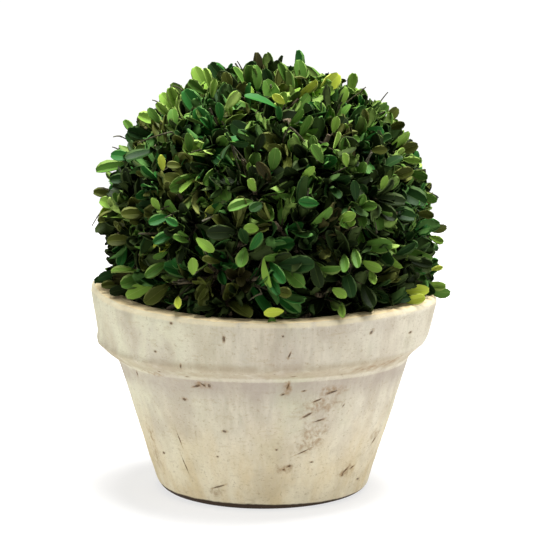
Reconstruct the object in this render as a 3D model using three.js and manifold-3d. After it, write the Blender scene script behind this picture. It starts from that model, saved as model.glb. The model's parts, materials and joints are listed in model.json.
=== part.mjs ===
// A clipped ball of box growing on a short stem in a squat clay pot, in millimetres.
// The frame has +Z up and -Y towards the viewer. Its origin is the middle of the pot's flat underside.

import * as THREE from "three";
import { mergeVertices } from "three/addons/utils/BufferGeometryUtils.js";
import Module from "manifold-3d";

const wasm = await Module();
wasm.setup();

// Driving dimensions

const POT_HEIGHT = 126;
const RIM_RADIUS = 107;
const BAND_RADIUS = 102.3; // the rim band's foot
const BAND_HEIGHT = 95; // where the slope under the rim band turns upright
const NECK_RADIUS = 90.6; // the body's top, in the crease under the rim band
const NECK_HEIGHT = 84;
const FOOT_RADIUS = 65.8;
const FOOT_ROUND = 5.5;
const MOUTH_RADIUS = 93;
const WALL = 9.5;
const FLOOR = 12;
const LIP_ROUND = 4.5; // of the lip's outer edge
const MOUTH_ROUND = 2.5; // of its inner edge
const LIP_RISE = 2.5; // how far the handmade lip climbs to the left, and falls away to the right
const POT_SIDES = 72;

const SOIL_HEIGHT = 103;
const CRUMB = 1.1; // half the height of the soil's unevenness

const TRUNK_TOP = 135;
const TRUNK_RADIUS = 7;
const TRUNK_TAPER = 0.8; // its radius at the tip, as a share of that above the flare
const ROOT_FLARE = 0.75; // how much wider the trunk is at the soil, as a share
const TRUNK_LEAN = 3; // of its tip, and so of the ball, to the right
const STEM_RADIUS = 4.2; // of the stem inside the ball, at its fork

const BALL_RADIUS = 107;
const BALL_HEIGHT = 162.5; // of the ball's centre above the ground
const BALL_SAG = 0.55; // the ball is drawn out by the inverse of this below its centre, over the rim
const BALL_REACH = 1.04; // how far its furthest leaf tips go, in radii of the ball
const BALL_TUCK = 0.6; // how steeply its foot draws in over the lip, except on the right
const RIGHT_TUCK = 0.1;
const CORE_RADIUS = 85;
const CORE_FOOT = 111; // the height of the core's flat underside
const HOLLOW_TOP = 141; // of the hollow in the core over the trunk

const LEAF_LENGTH = 28;
const LEAF_WIDTH = 18;
const LEAF_GAP = 4.2; // between a leaf and those of other shoots
const LEAF_TRIES = 30;
const LEAVES_ON_A_SHOOT = [ // back is from the shoot's tip, and quarter is the side that the leaf is on
  { back: 1.2, quarter: 0 },
  { back: 9, quarter: 1 },
  { back: 1.2, quarter: 2 },
  { back: 9, quarter: 3 },
];

const GAP = 0.3; // between pieces that rest on or in each other
const WELD = 0.001; // corners closer than this are one
const SEED = 7;

const UP = new THREE.Vector3(0, 0, 1);
const CENTRE = new THREE.Vector3(TRUNK_LEAN, 0, BALL_HEIGHT);

// Tools

// A repeatable source of numbers from 0 to 1.
function dice(seed) {
  let state = seed >>> 0;
  return () => {
    state = (state + 0x6d2b79f5) >>> 0;
    let t = Math.imul(state ^ (state >>> 15), state | 1);
    t ^= t + Math.imul(t ^ (t >>> 7), t | 61);
    return ((t ^ (t >>> 14)) >>> 0) / 2 ** 32;
  };
}

function mix(a, b, t) {
  return a + (b - a) * t;
}

// A closed geometry as a solid that can be joined and cut.
function solidOf(geometry) {
  const bare = geometry.index ? geometry.toNonIndexed() : geometry.clone();
  bare.deleteAttribute("normal");
  bare.deleteAttribute("uv");
  const merged = mergeVertices(bare, WELD);
  return new wasm.Manifold(
    new wasm.Mesh({
      numProp: 3,
      vertProperties: new Float32Array(merged.attributes.position.array),
      triVerts: new Uint32Array(merged.index.array),
    }),
  );
}

// The largest body of a solid as a geometry: loose scraps go, and hollows that were sealed are filled.
function largestBody(solid) {
  const bodies = solid.decompose().sort((a, b) => b.volume() - a.volume());
  const mesh = bodies[0].getMesh();
  const geometry = new THREE.BufferGeometry();
  geometry.setAttribute("position", new THREE.BufferAttribute(new Float32Array(mesh.vertProperties), 3));
  geometry.setIndex(new THREE.BufferAttribute(new Uint32Array(mesh.triVerts), 1));
  return geometry;
}

// Where surfaces of one body touch at a corner, each is drawn back a hair towards its own neighbours.
function drawApart(geometry) {
  const place = geometry.attributes.position;
  const index = geometry.index.array;
  const found = new Map();
  const corner = new THREE.Vector3();
  for (let i = 0; i < place.count; i++) {
    corner.fromBufferAttribute(place, i);
    const key = corner.toArray().map((v) => Math.round(v / WELD / 5)).join();
    found.set(key, [...(found.get(key) ?? []), i]);
  }
  for (const shared of [...found.values()].filter((list) => list.length > 1)) {
    for (const i of shared) {
      const around = new THREE.Vector3();
      const ring = new Set();
      for (let f = 0; f < index.length; f += 3) {
        const face = [index[f], index[f + 1], index[f + 2]];
        if (face.includes(i)) face.forEach((j) => ring.add(j));
      }
      ring.delete(i);
      ring.forEach((j) => around.addScaledVector(corner.fromBufferAttribute(place, j), 1 / ring.size));
      corner.fromBufferAttribute(place, i);
      corner.add(around.sub(corner).setLength(30 * WELD));
      place.setXYZ(i, corner.x, corner.y, corner.z);
    }
  }
  return geometry;
}

// A round body about the upright axis from its outline, whose x is the radius and y the height.
function turned(outline, segments) {
  return new THREE.LatheGeometry(outline, segments).rotateX(Math.PI / 2);
}

// A limb: a ring of corners round each point of its path, at that point's radius, with flat ends.
// ridge(angle, k) swells a corner of ring k, and is 1 where the limb is plain.
function limb(path, radii, sides, ridge = () => 1) {
  const positions = [];
  const index = [];
  const side = new THREE.Vector3();
  const out = new THREE.Vector3();
  path.forEach((point, k) => {
    const before = path[Math.max(k - 1, 0)];
    const after = path[Math.min(k + 1, path.length - 1)];
    const along = new THREE.Vector3().subVectors(after, before).normalize();
    if (k === 0) side.set(0.31, 0.95, 0.05);
    side.addScaledVector(along, -side.dot(along)).normalize();
    const cross = new THREE.Vector3().crossVectors(along, side);
    for (let i = 0; i < sides; i++) {
      const angle = (i / sides) * 2 * Math.PI;
      const radius = radii[k] * ridge(angle, k);
      out.copy(point);
      out.addScaledVector(side, Math.cos(angle) * radius);
      out.addScaledVector(cross, Math.sin(angle) * radius);
      positions.push(out.x, out.y, out.z);
    }
  });
  for (let k = 0; k + 1 < path.length; k++) {
    for (let i = 0; i < sides; i++) {
      const a = k * sides + i;
      const b = k * sides + ((i + 1) % sides);
      index.push(a, b, a + sides, b, b + sides, a + sides);
    }
  }
  const last = (path.length - 1) * sides;
  for (let i = 1; i + 1 < sides; i++) {
    index.push(0, i + 1, i, last, last + i, last + i + 1);
  }
  const geometry = new THREE.BufferGeometry();
  geometry.setAttribute("position", new THREE.Float32BufferAttribute(positions, 3));
  geometry.setIndex(index);
  return geometry;
}

// The pot

// The pot's inner radius at a height between its floor and its mouth.
function innerRadius(height) {
  const floorRadius = FOOT_RADIUS - WALL;
  const neckRadius = NECK_RADIUS - WALL;
  return height < NECK_HEIGHT
    ? mix(floorRadius, neckRadius, (height - FLOOR) / (NECK_HEIGHT - FLOOR))
    : mix(neckRadius, MOUTH_RADIUS, (height - NECK_HEIGHT) / (POT_HEIGHT - NECK_HEIGHT));
}

function pot() {
  const outline = new THREE.Path();
  outline.moveTo(0, 0);
  outline.lineTo(FOOT_RADIUS - FOOT_ROUND, 0);
  outline.quadraticCurveTo(FOOT_RADIUS - 1, 0, FOOT_RADIUS, FOOT_ROUND);
  outline.lineTo(NECK_RADIUS, NECK_HEIGHT);
  outline.lineTo(BAND_RADIUS, BAND_HEIGHT);
  outline.lineTo(RIM_RADIUS, POT_HEIGHT - LIP_ROUND);
  outline.quadraticCurveTo(RIM_RADIUS, POT_HEIGHT, RIM_RADIUS - LIP_ROUND, POT_HEIGHT);
  outline.lineTo(MOUTH_RADIUS + MOUTH_ROUND, POT_HEIGHT);
  outline.quadraticCurveTo(MOUTH_RADIUS, POT_HEIGHT, MOUTH_RADIUS - 0.5, POT_HEIGHT - MOUTH_ROUND);
  outline.lineTo(innerRadius(NECK_HEIGHT), NECK_HEIGHT);
  outline.lineTo(innerRadius(FLOOR), FLOOR);
  outline.lineTo(0, FLOOR);
  const geometry = turned(outline.getPoints(4), POT_SIDES);
  const place = geometry.attributes.position;
  for (let i = 0; i < place.count; i++) {
    const share = (place.getZ(i) - BAND_HEIGHT) / (POT_HEIGHT - BAND_HEIGHT);
    if (share > 0) place.setZ(i, mix(BAND_HEIGHT, lipHeight(place.getX(i)), share));
  }
  return geometry;
}

// The height of the lip's top, which isn't level.
function lipHeight(x) {
  return POT_HEIGHT - (LIP_RISE * x) / RIM_RADIUS;
}

// The soil

// Fills the pot to below its rim. The top is flat where the trunk stands and crumbled round it.
function soil() {
  const flat = TRUNK_RADIUS * 2.4;
  const outline = [new THREE.Vector2(0, FLOOR + GAP)];
  for (const height of [FLOOR + GAP, NECK_HEIGHT, SOIL_HEIGHT]) {
    outline.push(new THREE.Vector2(innerRadius(height) - 2 * GAP, height));
  }
  for (const share of [0.84, 0.66, 0.5, 0.34]) {
    outline.push(new THREE.Vector2(innerRadius(SOIL_HEIGHT) * share, SOIL_HEIGHT));
  }
  outline.push(new THREE.Vector2(flat, SOIL_HEIGHT), new THREE.Vector2(0, SOIL_HEIGHT));
  const geometry = turned(outline, 36);
  const place = geometry.attributes.position;
  for (let i = 0; i < place.count; i++) {
    const [x, y, z] = [place.getX(i), place.getY(i), place.getZ(i)];
    const radius = Math.hypot(x, y);
    const betweenTrunkAndWall = radius > flat + 1 && radius < innerRadius(SOIL_HEIGHT) - 2;
    if (z > SOIL_HEIGHT - 1 && betweenTrunkAndWall) {
      place.setZ(i, z + CRUMB * (Math.sin(x * 0.31 + 1.7) * Math.cos(y * 0.27) - 0.7));
    }
  }
  return geometry;
}

// The trunk

// From a flat cut on the soil, through its root flare, to the tip under the ball, with a slight lean.
function trunk() {
  const rings = 9;
  const path = [];
  const radii = [];
  for (let k = 0; k < rings; k++) {
    const t = (k / (rings - 1)) ** 1.5;
    const height = mix(SOIL_HEIGHT, TRUNK_TOP, t);
    path.push(new THREE.Vector3(leanAt(height), 0, height));
    radii.push(TRUNK_RADIUS * (mix(1, TRUNK_TAPER, t) + ROOT_FLARE * Math.exp(-t * 9)));
  }
  const roots = (angle, k) => 1 + 0.16 * Math.exp(-k * 0.7) * Math.cos(5 * angle + 0.6);
  return flatEnded(limb(path, radii, 15, roots), SOIL_HEIGHT, TRUNK_TOP);
}

// How far the trunk's middle has leant to one side at a height.
function leanAt(height) {
  return TRUNK_LEAN * ((height - SOIL_HEIGHT) / (TRUNK_TOP - SOIL_HEIGHT)) ** 2;
}

// Puts the corners near either height of a limb's ends exactly at it, so that the cuts are level.
function flatEnded(geometry, ...heights) {
  const place = geometry.attributes.position;
  for (let i = 0; i < place.count; i++) {
    const end = heights.find((height) => Math.abs(place.getZ(i) - height) < 1.2);
    if (end !== undefined) place.setZ(i, end);
  }
  return geometry;
}

// The ball

// The rule of growth: each rank of limbs spreads evenly over the ball, and each limb starts from the
// nearest end of the rank before. reach is the limb's end, in radii of the ball from its centre.
const RANKS = [
  { count: 7, reach: 0.3, lowest: 0, radius: 4 },
  { count: 32, reach: 0.6, lowest: -0.2, radius: 2.6 },
  { count: 150, reach: 0.87, lowest: -0.285, radius: 1.8 },
];
const GOLDEN_ANGLE = Math.PI * (3 - Math.sqrt(5));

// The point at a distance from the ball's centre in a direction, in the ball's drawn-out shape.
function inBall(direction, distance) {
  const point = direction.clone().multiplyScalar(distance);
  if (point.z < 0) point.z /= BALL_SAG;
  return point.add(CENTRE);
}

// Directions spread evenly over a sphere, from straight up down to the sine of a lowest elevation.
function spread(count, lowest, random, jitter) {
  return Array.from({ length: count }, (_, i) => {
    const rise = mix(1, lowest, (i + 0.5) / count);
    const turn = i * GOLDEN_ANGLE;
    const flat = Math.sqrt(1 - rise * rise);
    const direction = new THREE.Vector3(Math.cos(turn) * flat, Math.sin(turn) * flat, rise);
    const shake = () => (random() - 0.5) * jitter;
    return direction.add(new THREE.Vector3(shake(), shake(), shake())).normalize();
  });
}

// Grows every limb of the ball from the top of its stem, rank by rank.
function growLimbs(stemTop, random) {
  let parents = [{ end: stemTop, direction: UP, radius: STEM_RADIUS }];
  const limbs = [];
  for (const rank of RANKS) {
    const born = spread(rank.count, rank.lowest, random, 0.5 / Math.sqrt(rank.count)).map((direction) => {
      const reach = BALL_RADIUS * rank.reach * mix(0.965, 1.035, random());
      const end = inBall(direction, reach);
      const parent = parents.reduce((a, b) =>
        a.end.distanceTo(end) < b.end.distanceTo(end) ? a : b,
      );
      return { start: parent.end, end, direction, radius: rank.radius, parentRadius: parent.radius };
    });
    limbs.push(...born);
    parents = born;
  }
  return { limbs, shoots: parents };
}

// A leaf of eight faces: root, tip and two edges at its widest, with a dished top and a keeled back.
function leaf(root, along, face, length, width) {
  const across = new THREE.Vector3().crossVectors(along, face).normalize();
  const at = (forward, sideways, raised) =>
    root
      .clone()
      .addScaledVector(along, forward * length)
      .addScaledVector(across, sideways * width)
      .addScaledVector(face, raised * length);
  return [
    at(0, 0, 0),
    at(0.58, 0.5, 0.08),
    at(1, 0, 0.04),
    at(0.58, -0.5, 0.08),
    at(0.5, 0, 0.02),
    at(0.5, 0, -0.035),
  ];
}

const LEAF_FACES = [
  [0, 1, 4], [1, 2, 4], [2, 3, 4], [3, 0, 4],
  [1, 0, 5], [2, 1, 5], [3, 2, 5], [0, 3, 5],
].flat();

function leafGeometry(corners) {
  const geometry = new THREE.BufferGeometry().setFromPoints(corners);
  geometry.setIndex(LEAF_FACES);
  return geometry;
}

// Whether a point keeps to the ball's space: inside its clipped outline, and clear of pot and soil.
function inSpace(point) {
  const radius = Math.hypot(point.x, point.y);
  const tuck = point.x > 0.8 * radius ? RIGHT_TUCK : BALL_TUCK;
  const overLip = point.z > lipHeight(point.x) + 1 + tuck * Math.max(radius - MOUTH_RADIUS, 0);
  const inMouth = radius < MOUTH_RADIUS - 4 && point.z > SOIL_HEIGHT + 6;
  const fromCentre = point.clone().sub(CENTRE);
  if (fromCentre.z < 0) fromCentre.z *= BALL_SAG;
  return fromCentre.length() < BALL_RADIUS * BALL_REACH && (overLip || inMouth);
}

// Places that stand for a whole leaf: its corners and the middles of the lines between them.
function samplesOf(corners) {
  return corners.flatMap((a, i) => corners.slice(i).map((b) => a.clone().lerp(b, 0.5)));
}

// The leaves of every shoot: opposite pairs that turn a quarter from one to the next, out to its tip.
// A leaf that would leave the ball's space or run through one of another shoot is tried at other angles
// and then skipped.
function growLeaves(shoots, random) {
  const placed = [];
  const free = (samples, shoot) =>
    samples.every(inSpace) &&
    placed.every(
      (other) =>
        other.shoot === shoot ||
        other.samples[0].distanceTo(samples[0]) > LEAF_LENGTH * 2.3 ||
        samples.every((p) => other.samples.every((q) => p.distanceTo(q) > LEAF_GAP)),
    );
  for (const shoot of shoots) {
    const along = new THREE.Vector3().subVectors(shoot.end, shoot.start).normalize();
    const side = new THREE.Vector3().crossVectors(along, UP).normalize();
    side.applyAxisAngle(along, random() * Math.PI);
    for (const { back, quarter } of LEAVES_ON_A_SHOOT) {
      const node = shoot.end.clone().addScaledVector(along, -back);
      for (let attempt = 0; attempt < LEAF_TRIES; attempt++) {
        const turn = (quarter * Math.PI) / 2 + (random() - 0.5) * (0.5 + attempt * 0.06);
        const open = mix(0.65, 1.2 + attempt * 0.01, random());
        const size = mix(0.85, 1.12, random());
        const out = side.clone().applyAxisAngle(along, turn);
        const blade = along.clone().multiplyScalar(Math.cos(open)).addScaledVector(out, Math.sin(open));
        const face = along.clone().addScaledVector(blade, -along.dot(blade)).normalize();
        const root = node.clone().addScaledVector(blade, 0.4);
        const corners = leaf(root, blade, face, LEAF_LENGTH * size, LEAF_WIDTH * size);
        const samples = samplesOf(corners);
        if (free(samples, shoot)) {
          placed.push({ corners, samples, shoot });
          break;
        }
      }
    }
  }
  return placed.map((each) => leafGeometry(each.corners));
}

// The dense, clipped inside of the ball, hollowed underneath where the trunk comes up.
function core() {
  const ball = new THREE.IcosahedronGeometry(1, 5);
  const place = ball.attributes.position;
  const point = new THREE.Vector3();
  for (let i = 0; i < place.count; i++) {
    point.fromBufferAttribute(place, i);
    const lump = Math.sin(point.x * 11 + 1) * Math.sin(point.y * 13) * Math.sin(point.z * 12 + 2);
    point.copy(inBall(point, CORE_RADIUS * (1 + 0.02 * lump)));
    place.setXYZ(i, point.x, point.y, point.z);
  }
  const hollow = new THREE.Path();
  hollow.moveTo(0, 0);
  hollow.lineTo(BALL_RADIUS, 0);
  hollow.lineTo(BALL_RADIUS, CORE_FOOT);
  hollow.lineTo(TRUNK_RADIUS * 6, CORE_FOOT);
  hollow.quadraticCurveTo(TRUNK_RADIUS * 3, HOLLOW_TOP, 0, HOLLOW_TOP);
  return solidOf(ball).subtract(solidOf(turned(hollow.getPoints(5), 24)));
}

function foliageBall() {
  const random = dice(SEED);
  const stemFoot = new THREE.Vector3(leanAt(TRUNK_TOP), 0, TRUNK_TOP + GAP);
  const stemTop = CENTRE.clone().setZ(BALL_HEIGHT - 8);
  const stem = limb([stemFoot, stemTop], [TRUNK_RADIUS * 0.76, STEM_RADIUS], 9);
  const { limbs, shoots } = growLimbs(stemTop, random);
  const pieces = [core(), solidOf(flatEnded(stem, TRUNK_TOP + GAP))];
  for (const each of limbs) {
    if (!inSpace(each.end)) continue;
    pieces.push(solidOf(limb([each.start, each.end], [each.parentRadius * 0.8, each.radius], 3)));
  }
  pieces.push(...growLeaves(shoots.filter((each) => inSpace(each.end)), random).map(solidOf));
  const fused = drawApart(largestBody(wasm.Manifold.union(pieces).simplify(0.3)));
  return largestBody(solidOf(fused));
}

// The assembly

const clay = new THREE.MeshStandardMaterial({ color: 0xd2c8b0, roughness: 0.9, metalness: 0 });
const compost = new THREE.MeshStandardMaterial({ color: 0x33261b, roughness: 1, metalness: 0 });
const bark = new THREE.MeshStandardMaterial({ color: 0x7d7360, roughness: 0.95, metalness: 0 });
const leafGreen = new THREE.MeshStandardMaterial({ color: 0x35531f, roughness: 0.5, metalness: 0 });

const group = new THREE.Group();
function add(name, geometry, material) {
  const mesh = new THREE.Mesh(geometry, material);
  mesh.name = name;
  group.add(mesh);
}

add("pot", pot(), clay);
add("soil", soil(), compost);
add("trunk", trunk(), bark);
add("foliage_ball", foliageBall(), leafGreen);

export default group;
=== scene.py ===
"""The looks of a clipped ball of box in a whitewashed clay pot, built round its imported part, in metres."""

import json
import math

import bpy
import numpy as np
from mathutils import Matrix, Vector, kdtree, noise

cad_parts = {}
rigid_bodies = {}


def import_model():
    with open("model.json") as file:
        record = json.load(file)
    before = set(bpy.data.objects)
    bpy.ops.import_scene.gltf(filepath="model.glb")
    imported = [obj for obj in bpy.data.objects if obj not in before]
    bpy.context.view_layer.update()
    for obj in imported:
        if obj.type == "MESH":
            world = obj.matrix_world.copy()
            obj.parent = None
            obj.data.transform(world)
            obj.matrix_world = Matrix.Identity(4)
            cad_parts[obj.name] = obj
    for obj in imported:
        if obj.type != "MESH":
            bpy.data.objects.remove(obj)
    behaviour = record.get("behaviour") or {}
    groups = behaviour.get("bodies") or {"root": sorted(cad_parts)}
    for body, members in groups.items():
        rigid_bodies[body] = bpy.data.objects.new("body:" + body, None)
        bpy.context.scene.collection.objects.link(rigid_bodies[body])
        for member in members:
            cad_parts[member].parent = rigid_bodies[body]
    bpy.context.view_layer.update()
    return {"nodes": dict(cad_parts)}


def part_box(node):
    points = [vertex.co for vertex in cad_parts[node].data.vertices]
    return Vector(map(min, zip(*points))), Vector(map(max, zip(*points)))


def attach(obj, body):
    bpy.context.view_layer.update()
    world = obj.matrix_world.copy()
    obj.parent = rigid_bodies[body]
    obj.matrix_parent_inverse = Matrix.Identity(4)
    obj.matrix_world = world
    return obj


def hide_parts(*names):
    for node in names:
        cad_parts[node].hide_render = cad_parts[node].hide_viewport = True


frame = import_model()

# Driving sizes, nearly all the same as the part's own

POT_HEIGHT = 0.126
RIM_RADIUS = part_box("pot")[1].x
BAND_RADIUS = 0.1023  # the rim band's foot
BAND_HEIGHT = 0.095  # where the slope under the rim band turns upright
NECK_RADIUS = 0.0906  # the body's top, in the crease under the rim band
NECK_HEIGHT = 0.084
FOOT_RADIUS = 0.0658
FOOT_ROUND = 0.0055
MOUTH_RADIUS = 0.093
WALL = 0.0095
FLOOR = 0.012
LIP_ROUND = 0.0045  # of the lip's outer edge
MOUTH_ROUND = 0.0025  # of its inner edge
CREASE_RISE = 0.003  # how much higher the handmade crease is at the front
LIP_RISE = 0.0025  # how far the handmade lip climbs to the left, and falls away to the right

SOIL_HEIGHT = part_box("trunk")[0].z
TRUNK_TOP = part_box("trunk")[1].z
TRUNK_RADIUS = 0.007
TRUNK_TAPER = 0.8  # its radius at the tip, as a share of that above the flare
ROOT_FLARE = 0.75  # how much wider the trunk is at the soil, as a share
TRUNK_LEAN = 0.003  # of its tip, and so of the ball, to the right
STEM_RADIUS = 0.0042  # of the stem inside the ball, at its fork

BALL_RADIUS = 0.107
BALL_HEIGHT = 0.1625  # of the ball's centre above the ground
BALL_SAG = 0.55  # the ball is drawn out by the inverse of this below its centre, over the rim
BALL_TUCK = 0.12  # how steeply its leaves rise from the lip, which is less than the part's
LIP_CLEARANCE = 0.0006
SOIL_CLEARANCE = 0.006
MOUTH_CLEARANCE = 0.004
CENTRE = Vector((TRUNK_LEAN, 0, BALL_HEIGHT))
STEM_FOOT = Vector((TRUNK_LEAN, 0, TRUNK_TOP))
UP = Vector((0, 0, 1))
FORK_DROP = 0.008  # of the stem's fork under the ball's centre
STEM_TOP = CENTRE - UP * FORK_DROP
SEED = 7

# Sizes of what the part leaves to its looks

POT_SIDES = 320
SKIN_STEP = 0.0012  # between the rings of the pot's outside
HIDDEN_STEP = 0.005  # between those of its inside and underside

LEAF_LENGTH = 0.0205
LEAF_WIDTH = 0.5  # as a share of its length
PAIR_BACK = [0.0003, 0.0044, 0.0092, 0.0145, 0.0200]  # of each pair of leaves, from the twig's tip
PAIR_OPEN = [15, 27, 38, 48, 56]  # the angle of each pair's leaves to the twig, in degrees
PAIR_SIZE = [0.74, 0.95, 1.05, 1.0, 0.9]
INNER_PAIRS = 4  # on a twig inside the ball
LEAFY_SHARE = 0.85  # of a twig's length, from its tip
LEAF_TRIES = 6
LEAF_STALK = 0.0006
LEAF_SIZES = (0.55, 1.18)  # the smallest and the largest, as shares of the pair's size
TURN_SCATTER = 0.5  # of a leaf about its twig, in radians
OPEN_SCATTER = 26  # of its angle to the twig, in degrees
ROLL_SCATTER = 0.9  # of its face about its own length, in radians
CLIP_REACH = (0.945, 1.035)  # where the shears cut each twig's leaves, in radii of the ball
FRESH_SHARE = 0.22  # of the twigs, whose outermost pair is of a fresher tone

CRUMB_SIZE = 0.0021
CRUMBS_PER_SQUARE_METRE = 48000.0
CRUMB_SHAPES = 3
CRUMB_SINK = 0.0003  # of the surface that bears them, under the compost's top
CRUMB_MARGIN = 0.003  # between that surface and the pot's wall

# The camera, with the photo's own frame

PHOTO_SIDE = 552
PIXEL = 0.00062  # a pixel of the photo, as a size at the pot
CAMERA_DISTANCE = 2.2
CAMERA_ELEVATION = math.radians(11.75)
CAMERA_AIM = Vector((0.0075, 0, 0.1325))
TO_CAMERA = Vector((0, -math.cos(CAMERA_ELEVATION), math.sin(CAMERA_ELEVATION)))
PICTURE_UP = Vector((0, math.sin(CAMERA_ELEVATION), math.cos(CAMERA_ELEVATION)))
SIGHT_DEPTH = 0.13  # how far before and behind the aim a ray is followed
SIGHT_STEPS = 260

# The light

SOFTBOXES = {  # each one's place, width and watts
    "right": ((1.9, -1.0, 0.7), 1.6, 21),
    "left": ((-1.9, -0.9, 0.6), 1.6, 23),
    "top": ((0.25, 0.15, 2.1), 1.2, 158),
}
ROOM_LIGHT = 0.12
ROOM_SEEN = 1.05
FLOOR_RADIUS = 0.9
FLOOR_DROP = 0.0002  # keeps it clear of the pot's underside
FLOOR_GLOW = 0.7

# Tools for numbers and shapes


def dice(seed):
    """Repeatable numbers from 0 to 1, the same ones that the part's own limbs grew from."""
    whole = 0xFFFFFFFF
    state = seed
    while True:
        state = (state + 0x6D2B79F5) & whole
        t = ((state ^ (state >> 15)) * (state | 1)) & whole
        t ^= (t + (((t ^ (t >> 7)) * (t | 61)) & whole)) & whole
        yield ((t ^ (t >> 14)) & whole) / 2**32


def mix(a, b, t):
    return a + (b - a) * t


def smooth(low, high, value):
    """0 below low and 1 above high, with a soft step between."""
    t = min(max((value - low) / (high - low), 0), 1)
    return t * t * (3 - 2 * t)


def shade(red, green, blue):
    """A colour given as a screen shows it, from 0 to 255, as the renderer's own."""
    screen = [part / 255 for part in (red, green, blue)]
    return tuple(c / 12.92 if c < 0.04045 else ((c + 0.055) / 1.055) ** 2.4 for c in screen) + (1.0,)


def bell(value, middle, width):
    """1 at the middle, falling softly to 0 either side."""
    return math.exp(-(((value - middle) / width) ** 2))


def bend(start, corner, end, steps):
    """The points of a soft bend from start to end, drawn towards a corner, with start left out."""
    shares = [(i + 1) / steps for i in range(steps)]
    return [start.lerp(corner, t).lerp(corner.lerp(end, t), t) for t in shares]


def sight(across, down):
    """Places along the camera's ray through a pixel of the photo, from in front of the ball to behind it."""
    eye = CAMERA_AIM + TO_CAMERA * CAMERA_DISTANCE
    right_by = Vector((across - PHOTO_SIDE / 2, 0, 0))
    up_by = PICTURE_UP * (PHOTO_SIDE / 2 - down)
    ray = (CAMERA_AIM + (right_by + up_by) * PIXEL - eye).normalized()
    shares = [i / SIGHT_STEPS for i in range(SIGHT_STEPS + 1)]
    return [eye + ray * (CAMERA_DISTANCE + mix(-SIGHT_DEPTH, SIGHT_DEPTH, share)) for share in shares]


def circle(radius, height, sides):
    turns = [i / sides * 2 * math.pi for i in range(sides)]
    return [(math.cos(turn) * radius, math.sin(turn) * radius, height) for turn in turns]


def ring_faces(rings, sides):
    """The four-sided faces between rings of vertices."""
    faces = []
    for k in range(rings - 1):
        for i in range(sides):
            a = k * sides + i
            b = k * sides + (i + 1) % sides
            faces.append((a, b, b + sides, a + sides))
    return faces


def new_object(name, data):
    made = bpy.data.objects.new(name, data)
    bpy.context.scene.collection.objects.link(made)
    return made


def new_piece(name, vertices, faces, materials, smooth_faces=True):
    """A mesh object at the origin."""
    mesh = bpy.data.meshes.new(name)
    mesh.from_pydata(vertices, [], faces)
    for material in materials:
        mesh.materials.append(material)
    mesh.polygons.foreach_set("use_smooth", [smooth_faces] * len(mesh.polygons))
    mesh.update()
    return new_object(name, mesh)


def store(mesh, name, kind, domain, values):
    """Keeps a value for every point, face or face corner of a mesh."""
    key = "vector" if kind == "FLOAT_VECTOR" else "value"
    mesh.attributes.new(name, kind, domain).data.foreach_set(key, values)


def tube(path, radii, sides, relief):
    """Vertices and faces of a closed limb. relief(point, angle, k) swells or sinks its skin."""
    vertices = []
    side = Vector((0.31, 0.95, 0.05))
    for k, point in enumerate(path):
        along = (path[min(k + 1, len(path) - 1)] - path[max(k - 1, 0)]).normalized()
        side = (side - along * side.dot(along)).normalized()
        cross = along.cross(side)
        for i in range(sides):
            angle = i / sides * 2 * math.pi
            out = side * math.cos(angle) + cross * math.sin(angle)
            skin = point + out * radii[k]
            vertices.append(skin + out * relief(skin, angle, k))
    faces = ring_faces(len(path), sides)
    faces.append(tuple(reversed(range(sides))))
    faces.append(tuple(range((len(path) - 1) * sides, len(path) * sides)))
    return vertices, faces


# Tools for materials


class Graph:
    """A node tree being drawn up."""

    def __init__(self, tree):
        self.tree = tree

    def put(self, socket, value):
        """Feeds a socket from another node, or sets it."""
        if isinstance(value, bpy.types.NodeSocket):
            self.tree.links.new(value, socket)
        else:
            socket.default_value = value

    def node(self, kind, inputs, **settings):
        made = self.tree.nodes.new(kind)
        for name, value in settings.items():
            setattr(made, name, value)
        for key, value in inputs.items():
            self.put(made.inputs[key], value)
        return made

    def math(self, operation, a, b=0.0, c=0.0):
        return self.node("ShaderNodeMath", {0: a, 1: b, 2: c}, operation=operation).outputs[0]

    def times(self, a, b):
        return self.math("MULTIPLY", a, b)

    def vector(self, operation, a, b, output=0):
        return self.node("ShaderNodeVectorMath", {0: a, 1: b}, operation=operation).outputs[output]

    def step(self, value, low, high):
        """0 below low and 1 above high, or the other way round where high is the lower one."""
        made = self.node("ShaderNodeMapRange", {0: value, 1: low, 2: high}, interpolation_type="SMOOTHSTEP")
        return made.outputs[0]

    def blend(self, factor, a, b):
        return self.node("ShaderNodeMix", {0: factor, 6: a, 7: b}, data_type="RGBA").outputs[2]

    def grain(self, vector, scale, detail=3.0, output=0):
        inputs = {"Vector": vector, "Scale": scale, "Detail": detail, "Roughness": 0.6}
        return self.node("ShaderNodeTexNoise", inputs).outputs[output]

    def place(self):
        """Where a point is on the object."""
        return self.node("ShaderNodeTexCoord", {}).outputs["Object"]

    def apart(self, vector):
        return self.node("ShaderNodeSeparateXYZ", {0: vector}).outputs

    def group(self, tree, inputs):
        made = self.node("ShaderNodeGroup", {}, node_tree=tree)
        for name, value in inputs.items():
            self.put(made.inputs[name], value)
        return made.outputs[0]


SOCKETS = {
    "vector": "NodeSocketVector",
    "number": "NodeSocketFloat",
    "shape": "NodeSocketGeometry",
    "whole": "NodeSocketInt",
    "finish": "NodeSocketMaterial",
    "set": "NodeSocketCollection",
}


def new_tree(name, kind, inputs, output):
    """An empty node group with its named sockets: its graph, its inputs and its output socket."""
    tree = bpy.data.node_groups.new(name, kind)
    for label, form in inputs.items():
        tree.interface.new_socket(label, in_out="INPUT", socket_type=SOCKETS[form])
    tree.interface.new_socket(output[0], in_out="OUTPUT", socket_type=SOCKETS[output[1]])
    given = tree.nodes.new("NodeGroupInput").outputs
    result = tree.nodes.new("NodeGroupOutput").inputs[0]
    return Graph(tree), given, result


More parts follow.
